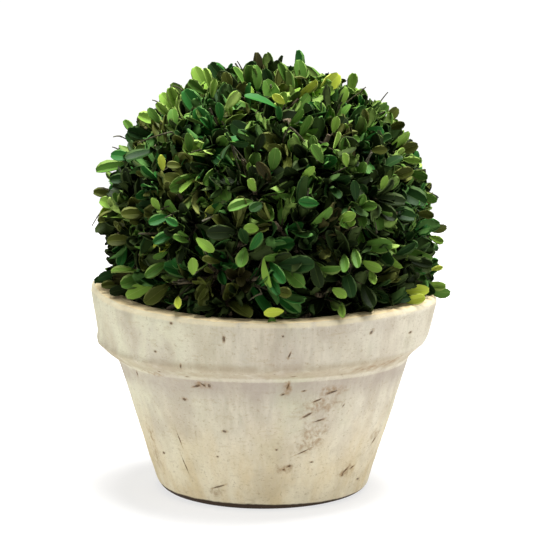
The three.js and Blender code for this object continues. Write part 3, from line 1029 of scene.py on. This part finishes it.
# Bare twig ends that stand out in the photo, as pixels across and down of where they leave the leaves
# and of their tips
PHOTO_TWIGS = [
    (377, 107, 388, 92),
    (361, 92, 366, 87),
    (104, 209, 92, 226),
    (172, 132, 138, 143),
    (182, 90, 173, 86),
    (160, 104, 152, 100),
    (122, 137, 113, 137),
    (120, 151, 112, 147),
    (109, 190, 101, 189),
    (242, 70, 237, 61),
    (290, 127, 305, 142),
    (377, 233, 375, 222),
    (262, 294, 250, 300),
]


def grow_photo_twigs(parents, placed):
    """The leaves and bare twig ends that stand out in the photo, each on a twig from its nearest parent:
    the twigs, and points along the blades."""

    def joined(end, leaving):
        foot, along = nearest(parents, end).at(0.7)
        return Limb(foot, along + leaving, end, TWIGS["radius"], TWIGS["radius"] * 0.7)

    born = []
    blades = kdtree.KDTree(len(PHOTO_LEAVES) * len(CLEAR_SHARES))
    for i, (across, down, tip_across, tip_down, roll, tone) in enumerate(PHOTO_LEAVES):
        tip = seen_at(tip_across, tip_down, PHOTO_REACH)
        root = seen_near(across, down, tip.lerp(CENTRE, PHOTO_LEAN))
        blade = tip - root
        length = blade.length
        blade.normalize()
        face = (TO_CAMERA - blade * blade.dot(TO_CAMERA)).normalized()
        face = Matrix.Rotation(math.radians(roll), 3, blade) @ face
        placed[tone].add(root, blade.cross(face), blade, face, length / LEAF_LENGTH, i % len(LEAF_SHAPES))
        born.append(joined(root, blade))
        for k, share in enumerate(CLEAR_SHARES):
            blades.insert(root.lerp(tip, share), i * len(CLEAR_SHARES) + k)
    blades.balance()
    for across, down, tip_across, tip_down in PHOTO_TWIGS:
        end = seen_at(tip_across, tip_down, PHOTO_REACH)
        leaving = seen_near(across, down, end)
        born.append(joined(leaving, end - leaving))
        born.append(Limb(leaving, end - leaving + UP * 0.003, end, TWIGS["radius"], TWIGS["radius"] * 0.6))
    return born, blades


# Geometry Nodes trees


def attribute(graph, name, kind):
    return graph.node("GeometryNodeInputNamedAttribute", {"Name": name}, data_type=kind).outputs[0]


def limb_tree():
    """Turns lines of points into closed limbs of each point's thickness."""
    inputs = {"Lines": "shape", "Sides": "whole", "Bark": "finish"}
    graph, given, result = new_tree("Limbs", "GeometryNodeTree", inputs, ("Limbs", "shape"))
    curve = graph.node("GeometryNodeMeshToCurve", {"Mesh": given["Lines"]}).outputs[0]
    inputs = {"Resolution": given["Sides"], "Radius": 1.0}
    ring = graph.node("GeometryNodeCurvePrimitiveCircle", inputs).outputs[0]
    thickness = attribute(graph, "thickness", "FLOAT")
    inputs = {"Curve": curve, "Profile Curve": ring, "Scale": thickness, "Fill Caps": True}
    skin = graph.node("GeometryNodeCurveToMesh", inputs).outputs[0]
    skin = graph.node("GeometryNodeSetShadeSmooth", {"Geometry": skin}).outputs[0]
    skin = graph.node("GeometryNodeRealizeInstances", {"Geometry": skin}).outputs[0]
    skin = graph.node("GeometryNodeSetMaterial", {"Geometry": skin, "Material": given["Bark"]}).outputs[0]
    graph.put(result, skin)
    return graph.tree


def set_on(graph, points, shapes, finish, **inputs):
    """Real copies of a collection's shapes on points, in one finish."""
    choices = {"Collection": shapes, "Separate Children": True, "Reset Children": True}
    choices = graph.node("GeometryNodeCollectionInfo", choices).outputs[0]
    inputs = {"Points": points, "Instance": choices, "Pick Instance": True, **inputs}
    copies = graph.node("GeometryNodeInstanceOnPoints", inputs).outputs[0]
    copies = graph.node("GeometryNodeRealizeInstances", {"Geometry": copies}).outputs[0]
    return graph.node("GeometryNodeSetMaterial", {"Geometry": copies, "Material": finish}).outputs[0]


def leaf_tree():
    """Sets one of the leaf shapes on every point, with its own turn and size."""
    inputs = {"Points": "shape", "Leaf shapes": "set", "Leaf length": "number"}
    inputs.update({"Blade": "finish", "Pale": "finish"})
    graph, given, result = new_tree("Leaves", "GeometryNodeTree", inputs, ("Leaves", "shape"))
    inputs = {
        "Instance Index": attribute(graph, "kind", "INT"),
        "Rotation": attribute(graph, "turn", "FLOAT_VECTOR"),
        "Scale": graph.times(attribute(graph, "size", "FLOAT"), given["Leaf length"]),
    }
    leaves = set_on(graph, given["Points"], given["Leaf shapes"], given["Blade"], **inputs)
    pale = attribute(graph, "pale", "BOOLEAN")
    inputs = {"Geometry": leaves, "Selection": pale, "Material": given["Pale"]}
    graph.put(result, graph.node("GeometryNodeSetMaterial", inputs).outputs[0])
    return graph.tree


def crumb_tree():
    """Scatters crumbs over a surface."""
    inputs = {"Surface": "shape", "Crumbs": "set", "Per square metre": "number"}
    inputs.update({"Size": "number", "Compost": "finish"})
    graph, given, result = new_tree("Crumbs", "GeometryNodeTree", inputs, ("Crumbs", "shape"))
    inputs = {"Mesh": given["Surface"], "Density": given["Per square metre"], "Seed": SEED}
    points = graph.node("GeometryNodeDistributePointsOnFaces", inputs).outputs[0]
    inputs = {0: (0, 0, 0), 1: (6.28, 6.28, 6.28), "Seed": 1}
    turn = graph.node("FunctionNodeRandomValue", inputs, data_type="FLOAT_VECTOR").outputs[0]
    swell = graph.node("FunctionNodeRandomValue", {2: 0.35, 3: 1.0, "Seed": 2}, data_type="FLOAT").outputs[1]
    inputs = {"Rotation": turn, "Scale": graph.times(swell, given["Size"])}
    graph.put(result, set_on(graph, points, given["Crumbs"], given["Compost"], **inputs))
    return graph.tree


def grown(source, tree, **values):
    """Runs a tree on a source object with named values, and leaves the result as the object's plain mesh."""
    modifier = source.modifiers.new("Growth", "NODES")
    modifier.node_group = tree
    for socket in tree.interface.items_tree:
        label = socket.name.replace(" ", "_").lower()
        if socket.in_out == "INPUT" and label in values:
            modifier[socket.identifier] = values[label]
    source.update_tag()
    ready = source.evaluated_get(bpy.context.evaluated_depsgraph_get())
    mesh = bpy.data.meshes.new_from_object(ready)
    source.modifiers.remove(modifier)
    old = source.data
    source.data = mesh
    bpy.data.meshes.remove(old)
    mesh.name = source.name
    return source


def shape_set(name, shapes):
    """A collection of small shapes for a tree to pick from."""
    collection = bpy.data.collections.new(name)
    bpy.context.scene.collection.children.link(collection)
    for shape in shapes:
        bpy.context.scene.collection.objects.unlink(shape)
        collection.objects.link(shape)
    return collection


def put_away(collection):
    for shape in list(collection.objects):
        mesh = shape.data
        bpy.data.objects.remove(shape)
        bpy.data.meshes.remove(mesh)
    bpy.data.collections.remove(collection)


# Bark and soil


def bark_finish(name, light, dark, cracks):
    """Grey-brown bark with upright cracks."""
    material, graph, shader = new_material(name, Roughness=0.85, Specular_IOR_Level=0.25)
    place = graph.place()
    crack = patches(graph, place, cracks, 0.22, 0.42, 0.6)
    lichen = patches(graph, place, 130.0, 0.8, 0.5, 0.7)
    colour = graph.blend(crack, dark, light)
    colour = graph.blend(graph.times(lichen, 0.35), colour, shade(140, 138, 118))
    dress(graph, shader, colour, crack, 0.8, 0.0005)
    return material


def compost_finish():
    """Dark, fibrous compost."""
    material, graph, shader = new_material("compost", Roughness=0.95, Specular_IOR_Level=0.2)
    place = graph.place()
    lumps = patches(graph, place, 240.0, 1.0, 0.3, 0.7)
    fibres = pores(graph, place, 210.0, 0.25, 0.22)
    colour = graph.blend(lumps, shade(34, 25, 18), shade(66, 50, 36))
    colour = graph.blend(graph.times(fibres, 0.6), colour, shade(98, 76, 52))
    dress(graph, shader, colour, graph.math("MULTIPLY_ADD", fibres, 0.5, lumps), 1.0, 0.0012)
    return material


def lean_at(height):
    """How far the trunk's middle has leant to one side at a height."""
    return TRUNK_LEAN * ((height - SOIL_HEIGHT) / (TRUNK_TOP - SOIL_HEIGHT)) ** 2


def make_trunk(bark):
    """The trunk from its flat cut on the soil, through its root flare, to the fork inside the ball."""
    rings = 56
    stem_rings = 20
    sides = 72
    path = []
    radii = []
    for k in range(rings):
        t = (k / (rings - 1)) ** 1.3
        height = mix(SOIL_HEIGHT, TRUNK_TOP, t)
        path.append(Vector((lean_at(height), 0, height)))
        radii.append(TRUNK_RADIUS * (mix(1, TRUNK_TAPER, t) + ROOT_FLARE * math.exp(-t * 9)))
    for k in range(stem_rings):
        t = (k + 1) / stem_rings
        path.append(STEM_FOOT.lerp(STEM_TOP, t))
        radii.append(mix(TRUNK_RADIUS * TRUNK_TAPER, STEM_RADIUS, t))

    def relief(skin, angle, k):
        if k == 0:
            skin = skin + UP * 0.0004
        roots = 0.16 * math.exp(-k / 7) * math.cos(5 * angle + 0.6) * radii[k]
        ridges = noise.noise(Vector((skin.x * 520, skin.y * 520, skin.z * 110)))
        knots = noise.noise(skin * 160)
        return roots + (abs(ridges) - 0.25) * 0.0011 + knots * 0.0006

    vertices, faces = tube(path, radii, sides, relief)
    for vertex in vertices[:sides]:
        vertex.z = SOIL_HEIGHT
    return new_piece("trunk_bark", vertices, faces, [bark])


def make_boughs(boughs, bark):
    """The first rank of limbs, with the bark's relief."""
    vertices = []
    faces = []
    steps = 24
    shares = [i / steps for i in range(steps + 1)]

    def relief(skin, angle, k):
        return (abs(noise.noise(skin * 420)) - 0.2) * 0.0009

    for bough in boughs:
        path = [bough.at(share)[0] for share in shares]
        radii = [mix(bough.radii[0], bough.radius, share) for share in shares]
        corners, sides = tube(path, radii, 20, relief)
        faces += [tuple(i + len(vertices) for i in face) for face in sides]
        vertices += corners
    return new_piece("boughs", vertices, faces, [bark])


def make_lines(name, limbs):
    """The middle lines of many limbs, with each point's thickness."""
    vertices = []
    edges = []
    thickness = []
    for limb in limbs:
        first = len(vertices)
        vertices += limb.path
        thickness += limb.radii
        edges += [(first + k, first + k + 1) for k in range(len(limb.path) - 1)]
    mesh = bpy.data.meshes.new(name)
    mesh.from_pydata(vertices, edges, [])
    store(mesh, "thickness", "FLOAT", "POINT", thickness)
    return new_object(name, mesh)


def make_crumbs(compost):
    """Loose crumbs on the compost between the trunk and the pot's wall."""
    random = dice(SEED + 1)
    shapes = []
    for i in range(CRUMB_SHAPES):
        bpy.ops.mesh.primitive_ico_sphere_add(subdivisions=1, radius=1)
        crumb = bpy.context.object
        crumb.name = f"crumb_{i}"
        for vertex in crumb.data.vertices:
            vertex.co *= mix(0.65, 1.25, next(random))
        shapes.append(crumb)
    crumbs = shape_set("crumb_shapes", shapes)
    sides = 48
    height = SOIL_HEIGHT - CRUMB_SINK
    vertices = []
    for radius in [TRUNK_RADIUS * 1.9, inner_radius(SOIL_HEIGHT) - CRUMB_MARGIN]:
        vertices += circle(radius, height, sides)
    surface = new_piece("soil_crumbs", vertices, ring_faces(2, sides), [])
    values = {"per_square_metre": CRUMBS_PER_SQUARE_METRE, "size": CRUMB_SIZE, "compost": compost}
    grown(surface, crumb_tree(), crumbs=crumbs, **values)
    put_away(crumbs)
    return surface


# The leaves

# Each tone is dealt out by the twig: its share of them, how much it favours the top, and the colours of
# the blade's face and of its paler margin and underside
# Favouring the top is painted light and shade: brighter greens go up where the light falls, darker ones low
# down
TONES = {
    "deep": (0.42, -0.95, shade(26, 37, 15), shade(52, 65, 31)),
    "forest": (0.22, -0.7, shade(27, 51, 20), shade(54, 75, 36)),
    "emerald": (0.11, 1.0, shade(38, 90, 36), shade(72, 108, 52)),
    "leaf_green": (0.11, 4.2, shade(74, 109, 41), shade(102, 126, 60)),
    "fresh": (0.018, 4.0, shade(116, 150, 58), shade(136, 160, 80)),
    "olive": (0.09, 0.3, shade(66, 73, 27), shade(92, 98, 48)),
    "lime": (0.006, 1.0, shade(168, 182, 62), shade(184, 196, 92)),
    "umber": (0.035, -0.4, shade(44, 42, 19), shade(68, 66, 36)),
}
# Painted shade: near-black greens for the leaves inside the ball
INNER_SHADE_TONE = (shade(14, 20, 8), shade(28, 36, 16))
FRESH = {"deep": "leaf_green", "forest": "emerald", "olive": "leaf_green", "leaf_green": "fresh"}

# How the leaf shapes differ: how deeply the blade is dished, how far its tip curls back, and its width
LEAF_SHAPES = [
    (0.42, 0.05, 1.00),
    (0.66, -0.10, 0.92),
    (0.28, 0.16, 1.10),
    (0.80, 0.02, 0.86),
    (0.50, -0.18, 1.04),
    (0.22, 0.24, 0.94),
]
INNER_SHAPE = len(LEAF_SHAPES)
STATIONS = [0.0, 0.14, 0.38, 0.64, 0.84, 0.95, 1.0]
COLUMNS = [-1.0, -0.92, -0.03, 0.03, 0.92, 1.0]
PALE_STRIPS = [0, 2, 4]  # the margins and the midrib


def half_width(along):
    """Half the width of a box leaf at a share of its length, as a share of its widest half."""
    return max(max(math.sin(math.pi * along**1.6), 0) ** 0.45, mix(0.08, 0.3, along))


def make_leaf_shape(index, dish, curl, width):
    """One leaf a metre long, from its stalk at the origin along +Y, with its upper face to +Z."""
    half = LEAF_WIDTH * width / 2
    vertices = []
    for along in STATIONS:
        reach = half_width(along) * half
        for column in COLUMNS:
            rise = dish * half * abs(column) ** 1.6 * half_width(along)
            notch = 0.025 * (1 - abs(column)) if along == 1.0 else 0
            vertices.append((column * reach, along - notch, rise - curl * along**2.2))
    keel = len(vertices)
    for along in STATIONS:
        vertices.append((0, along * 0.985, -0.022 - curl * along**2.2))
    faces = []
    pale = []
    wide = len(COLUMNS)
    for k in range(len(STATIONS) - 1):
        for i in range(wide - 1):
            a = k * wide + i
            faces.append((a, a + 1, a + 1 + wide, a + wide))
            pale.append(i in PALE_STRIPS)
        left = k * wide
        right = left + wide - 1
        faces.append((left, left + wide, keel + k + 1, keel + k))
        faces.append((keel + k, keel + k + 1, right + wide, right))
        pale += [True, True]
    last = (len(STATIONS) - 1) * wide
    faces.append((*range(last, last + wide), keel + len(STATIONS) - 1))
    faces.append((*reversed(range(wide)), keel))
    pale += [True, True]
    leaf = new_piece(f"leaf_{index}", vertices, faces, [])
    store(leaf.data, "pale", "BOOLEAN", "FACE", pale)
    return leaf


def make_inner_leaf(index):
    """A plainer leaf for the shade inside the ball."""
    half = LEAF_WIDTH / 2
    left = [(-half * 0.9, 0.45, 0.05), (-half * 0.8, 0.8, 0.05)]
    right = [(half * 0.8, 0.8, 0.05), (half * 0.9, 0.45, 0.05)]
    vertices = [(0, 0, 0), *left, (0, 1, 0), *right, (0, 0.6, 0), (0, 0.6, -0.03)]
    rim = [0, 5, 4, 3, 2, 1]
    faces = [(a, b, 6) for a, b in zip(rim, rim[1:] + rim[:1])]
    faces += [(b, a, 7) for a, b in zip(rim, rim[1:] + rim[:1])]
    leaf = new_piece(f"leaf_{index}", vertices, faces, [])
    store(leaf.data, "pale", "BOOLEAN", "FACE", [False] * 6 + [True] * 6)
    return leaf


def leaf_finish(name, colour, roughness):
    """A leaf's plain waxy finish."""
    return new_material(name, Base_Color=colour, Roughness=roughness, Specular_IOR_Level=0.06)[0]


def deal_tone(height, random):
    """Picks a twig's tone, brighter ones towards the top as painted light. height is from -1 to 1, up the
    ball.
    """
    weights = [share * max(1 + top * height, 0.1) for share, top, *_ in TONES.values()]
    pick = next(random) * sum(weights)
    for tone, weight in zip(TONES, weights):
        pick -= weight
        if pick < 0:
            return tone
    return "deep"


class Placed:
    """The places of all leaves of one tone."""

    def __init__(self):
        self.points = []
        self.turns = []
        self.sizes = []
        self.kinds = []

    def add(self, root, across, blade, face, size, kind):
        self.points.append(root)
        self.turns += Matrix((across, blade, face)).transposed().to_euler()
        self.sizes.append(size)
        self.kinds.append(kind)

    def mesh(self, name):
        mesh = bpy.data.meshes.new(name)
        mesh.from_pydata(self.points, [], [])
        store(mesh, "turn", "FLOAT_VECTOR", "POINT", self.turns)
        store(mesh, "size", "FLOAT", "POINT", self.sizes)
        store(mesh, "kind", "INT", "POINT", self.kinds)
        return mesh


def any_shape(random):
    return int(next(random) * len(LEAF_SHAPES))


def inner_shape(random):
    return INNER_SHAPE


def grow_pair(twig, pair, start_turn, kind_of, place_in, random, reach, blades):
    """Two opposite leaves at one node of a twig. One that would leave the ball's space, or come too near
    to one of the photo's blades, is tried again and then skipped. Each further attempt turns more widely,
    lies closer to the twig, and is smaller and more upright."""
    share = 1 - PAIR_BACK[pair] / twig.length()
    node, along = twig.at(share)
    side = along.cross(UP if abs(along.z) < 0.95 else Vector((1, 0, 0))).normalized()
    for half in range(2):
        for attempt in range(LEAF_TRIES):
            turn = start_turn + pair * math.pi / 2 + half * math.pi
            turn += (next(random) - 0.5) * (TURN_SCATTER + attempt * 0.3)
            opening = math.radians(PAIR_OPEN[pair] + (next(random) - 0.5) * OPEN_SCATTER - attempt * 5)
            size = PAIR_SIZE[pair] * mix(*LEAF_SIZES, next(random)) * (1 - attempt * 0.04)
            out = Matrix.Rotation(turn, 3, along) @ side
            blade = (along * math.cos(opening) + out * math.sin(opening) + UP * 0.25 * attempt).normalized()
            face = (along - blade * along.dot(blade)).normalized()
            face = Matrix.Rotation((next(random) - 0.5) * ROLL_SCATTER, 3, blade) @ face
            across = blade.cross(face)
            root = node + blade * LEAF_STALK
            length = LEAF_LENGTH * size
            edge = across * LEAF_WIDTH * length / 2
            widest = root + blade * length * 0.6
            samples = [root + blade * length, root + blade * length * 0.85, widest + edge, widest - edge]
            clear = all(blades.find(each)[2] > PHOTO_CLEARANCE for each in samples)
            if clear and all(in_space(each, reach) for each in samples):
                place_in.add(root, across, blade, face, size, kind_of(random))
                break


def grow_leaves(twigs, inner_twigs, placed, blades, random):
    """Leaves in opposite pairs, each a quarter turn from the next, out to every twig's tip."""
    inner = Placed()
    for twig in twigs:
        height = (twig.end.z - BALL_HEIGHT) / BALL_RADIUS
        tone = deal_tone(height, random)
        fresh = FRESH.get(tone, tone) if next(random) < FRESH_SHARE else tone
        start_turn = next(random) * math.pi
        reach = mix(*CLIP_REACH, next(random))
        for pair in range(len(PAIR_BACK)):
            if PAIR_BACK[pair] > twig.length() * LEAFY_SHARE:
                continue
            # Pairs far back from the tip go deep green: partly older, darker leaves, partly painted shade in
            # the gaps
            into = placed[fresh if pair == 0 else "deep" if pair > 2 else tone]
            grow_pair(twig, pair, start_turn, any_shape, into, random, reach, blades)
    for twig in inner_twigs:
        start_turn = next(random) * math.pi
        for pair in range(INNER_PAIRS):
            if PAIR_BACK[pair] < twig.length() * LEAFY_SHARE:
                grow_pair(twig, pair, start_turn, inner_shape, inner, random, 1.0, blades)
    return inner


def make_leaves(twigs, inner_twigs, placed, blades, random):
    """All leaves, as one piece for each tone."""
    inner = grow_leaves(twigs, inner_twigs, placed, blades, random)
    shapes = [make_leaf_shape(i, *shape) for i, shape in enumerate(LEAF_SHAPES)]
    shapes.append(make_inner_leaf(INNER_SHAPE))
    leaf_shapes = shape_set("leaf_shapes", shapes)
    tree = leaf_tree()
    finishes = {tone: colours for tone, (_, _, *colours) in TONES.items()}
    finishes["shaded"] = INNER_SHADE_TONE
    pieces = []
    for tone, places in [*placed.items(), ("shaded", inner)]:
        blade, pale = finishes[tone]
        name = f"leaves_{tone}"
        source = new_object(name, places.mesh(name))
        upper = leaf_finish(f"{tone} leaf", blade, 0.46)
        lower = leaf_finish(f"{tone} leaf underside", pale, 0.6)
        grown(source, tree, leaf_shapes=leaf_shapes, leaf_length=LEAF_LENGTH, blade=upper, pale=lower)
        pieces.append(source)
    put_away(leaf_shapes)
    return pieces


# Camera, floor and light


def make_camera():
    data = bpy.data.cameras.new("camera")
    data.sensor_width = 36
    data.lens = data.sensor_width * CAMERA_DISTANCE / (PHOTO_SIDE * PIXEL)
    data.clip_start = 0.05
    data.clip_end = 20
    camera = new_object("camera", data)
    camera.location = CAMERA_AIM + TO_CAMERA * CAMERA_DISTANCE
    camera.rotation_euler = TO_CAMERA.to_track_quat("Z", "Y").to_euler()
    bpy.context.scene.camera = camera


def make_softbox(name, place, aim, width, watts):
    data = bpy.data.lights.new(name, "AREA")
    data.shape = "SQUARE"
    data.size = width
    data.energy = watts
    lamp = new_object(name, data)
    lamp.location = place
    lamp.rotation_euler = (Vector(place) - Vector(aim)).to_track_quat("Z", "Y").to_euler()


def make_world(light, seen):
    """A white room, whose light on the object and whose own look have their own strengths."""
    world = bpy.data.worlds.new("white room")
    world.use_nodes = True
    graph = Graph(world.node_tree)
    for node in list(world.node_tree.nodes):
        world.node_tree.nodes.remove(node)
    ray = graph.node("ShaderNodeLightPath", {}).outputs["Is Camera Ray"]
    lit = graph.node("ShaderNodeBackground", {"Color": (1, 1, 1, 1), "Strength": light}).outputs[0]
    white = graph.node("ShaderNodeBackground", {"Color": (1, 1, 1, 1), "Strength": seen}).outputs[0]
    both = graph.node("ShaderNodeMixShader", {0: ray, 1: lit, 2: white}).outputs[0]
    graph.node("ShaderNodeOutputWorld", {"Surface": both})
    bpy.context.scene.world = world


def make_floor():
    """A round pale floor, lit softly from below so that shadows on it stay faint."""
    glow = {"Emission_Color": (1, 1, 1, 1), "Emission_Strength": FLOOR_GLOW}
    material, graph, shader = new_material("lit white paper", Roughness=0.9, Specular_IOR_Level=0.1, **glow)
    fibre = patches(graph, graph.place(), 300.0, 1.0, 0.2, 0.8)
    graph.put(shader.inputs["Base Color"], graph.blend(fibre, shade(148, 147, 146), shade(151, 150, 149)))
    sides = 96
    vertices = circle(FLOOR_RADIUS, -FLOOR_DROP, sides)
    floor = new_piece("floor", vertices, [tuple(range(sides))], [material], smooth_faces=False)


# The whole

random = dice(SEED)
ranks = grow_limbs(random)
twigs = grow_twigs(ranks[2], TWIGS, random)
inner_twigs = grow_twigs(ranks[2], INNER_TWIGS, random)
stubs = grow_twigs(ranks[2], STUBS, random)
placed_leaves = {tone: Placed() for tone in TONES}
photo_twigs, photo_blades = grow_photo_twigs(ranks[2], placed_leaves)

bark = bark_finish("box bark", shade(136, 122, 98), shade(78, 66, 50), 330.0)
twig_bark = bark_finish("twig bark", shade(72, 68, 42), shade(44, 41, 26), 800.0)
compost = compost_finish()

pot = make_pot()
trunk = make_trunk(bark)
boughs = make_boughs(ranks[0], bark)
branch_lines = make_lines("branches", [limb for limb in ranks[1] + ranks[2] if in_space(limb.end)])
limbs_by_lines = limb_tree()
branches = grown(branch_lines, limbs_by_lines, sides=7, bark=bark)
twig_lines = make_lines("twigs", twigs + inner_twigs + stubs + photo_twigs)
twiglets = grown(twig_lines, limbs_by_lines, sides=5, bark=twig_bark)
leaves = make_leaves(twigs, inner_twigs, placed_leaves, photo_blades, random)
crumbs = make_crumbs(compost)

soil = frame["nodes"]["soil"]
soil.data.materials.clear()
soil.data.materials.append(compost)

for piece, slot in [(pot, "clay"), (crumbs, "soil"), (trunk, "bark"), (boughs, "bark")]:
    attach(piece, "root")
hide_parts("pot")
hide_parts("trunk")
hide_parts("foliage_ball")
for piece in [branches, twiglets]:
    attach(piece, "root")
    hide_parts("foliage_ball")
for piece in leaves:
    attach(piece, "root")
    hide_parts("foliage_ball")

make_floor()
make_world(light=ROOM_LIGHT, seen=ROOM_SEEN)
for name, (place, width, watts) in SOFTBOXES.items():
    make_softbox(name, place, CENTRE, width, watts)
make_camera()
bpy.context.scene.view_settings.view_transform = "Standard"
